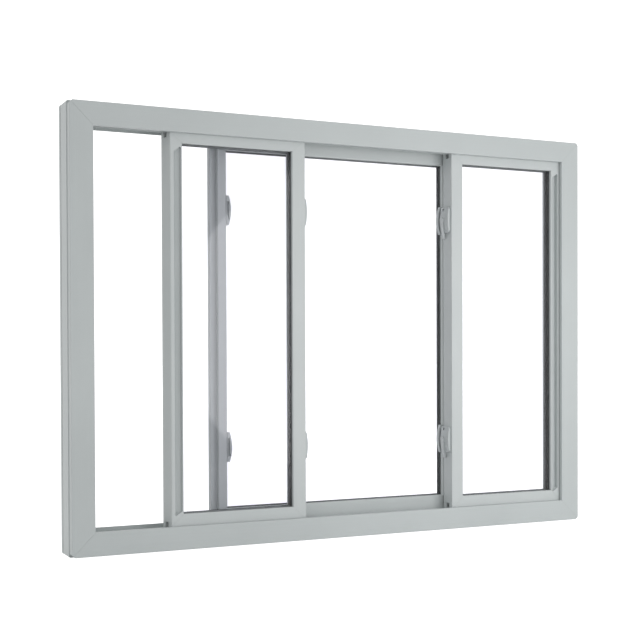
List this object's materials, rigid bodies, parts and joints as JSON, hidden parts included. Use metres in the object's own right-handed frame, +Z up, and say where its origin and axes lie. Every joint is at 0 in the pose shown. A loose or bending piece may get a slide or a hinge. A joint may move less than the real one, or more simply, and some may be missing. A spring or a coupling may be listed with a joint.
{
  "type": "horizontal sliding window",
  "caption": "Light grey vinyl horizontal slider: a wide fixed middle light with a narrower sliding sash on each side, double glazed, cam locks on the meeting stiles.",
  "frame": {"origin": "middle of the underside of the sill, on the face that stands on the rough sill, at mid depth", "axes": "+X to the right as seen from the room, +Y to the outside, +Z up"},
  "size_m": [1.248, 0.082, 0.917],
  "materials": {
    "frame_vinyl": "satin rigid vinyl extrusion, light grey",
    "sash_vinyl": "satin rigid vinyl extrusion, light grey",
    "bead": "satin rigid vinyl glazing bead, light grey",
    "glass": "clear float glass",
    "spacer": "black warm-edge glazing spacer",
    "nylon": "moulded nylon",
    "lock": "grey enamelled die casting"
  },
  "bodies": {
    "frame": {"frame_sill": "frame_vinyl", "frame_head": "frame_vinyl", "frame_left_jamb": "frame_vinyl", "frame_right_jamb": "frame_vinyl", "fixed_light_bottom_rail": "sash_vinyl", "fixed_light_top_rail": "sash_vinyl", "fixed_light_left_stile": "sash_vinyl", "fixed_light_right_stile": "sash_vinyl", "fixed_light_glazing_beads": "bead", "fixed_light_glass": "glass", "fixed_light_spacer": "spacer", "left_keepers": "lock", "right_keepers": "lock"},
    "left_sash": {"left_sash_top_rail": "sash_vinyl", "left_sash_bottom_rail": "sash_vinyl", "left_sash_pull_stile": "sash_vinyl", "left_sash_meeting_stile": "sash_vinyl", "left_sash_glazing_beads": "bead", "left_sash_glass": "glass", "left_sash_spacer": "spacer", "left_sash_rollers": "nylon", "left_sash_lock_bases": "lock"},
    "left_lower_lock_lever": {"left_lower_lock_lever": "lock"},
    "left_upper_lock_lever": {"left_upper_lock_lever": "lock"},
    "right_sash": {"right_sash_top_rail": "sash_vinyl", "right_sash_bottom_rail": "sash_vinyl", "right_sash_pull_stile": "sash_vinyl", "right_sash_meeting_stile": "sash_vinyl", "right_sash_glazing_beads": "bead", "right_sash_glass": "glass", "right_sash_spacer": "spacer", "right_sash_rollers": "nylon", "right_sash_lock_bases": "lock"},
    "right_lower_lock_lever": {"right_lower_lock_lever": "lock"},
    "right_upper_lock_lever": {"right_upper_lock_lever": "lock"}
  },
  "joints": [
    {"name": "left_sash_slide", "type": "slide", "parent": "frame", "child": "left_sash", "axis": [1, 0, 0], "range_m": [-0.167, 0.083]},
    {"name": "left_lower_lock_turn", "type": "hinge", "parent": "left_sash", "child": "left_lower_lock_lever", "pos_m": [-0.103, -0.004, 0.207], "axis": [-1, 0, 0], "range_deg": [0, 180]},
    {"name": "left_upper_lock_turn", "type": "hinge", "parent": "left_sash", "child": "left_upper_lock_lever", "pos_m": [-0.103, -0.004, 0.717], "axis": [-1, 0, 0], "range_deg": [0, 180]},
    {"name": "right_sash_slide", "type": "slide", "parent": "frame", "child": "right_sash", "axis": [1, 0, 0], "range_m": [-0.25, 0]},
    {"name": "right_lower_lock_turn", "type": "hinge", "parent": "right_sash", "child": "right_lower_lock_lever", "pos_m": [0.27, -0.004, 0.207], "axis": [-1, 0, 0], "range_deg": [0, 180]},
    {"name": "right_upper_lock_turn", "type": "hinge", "parent": "right_sash", "child": "right_upper_lock_lever", "pos_m": [0.27, -0.004, 0.717], "axis": [-1, 0, 0], "range_deg": [0, 180]}
  ]
}
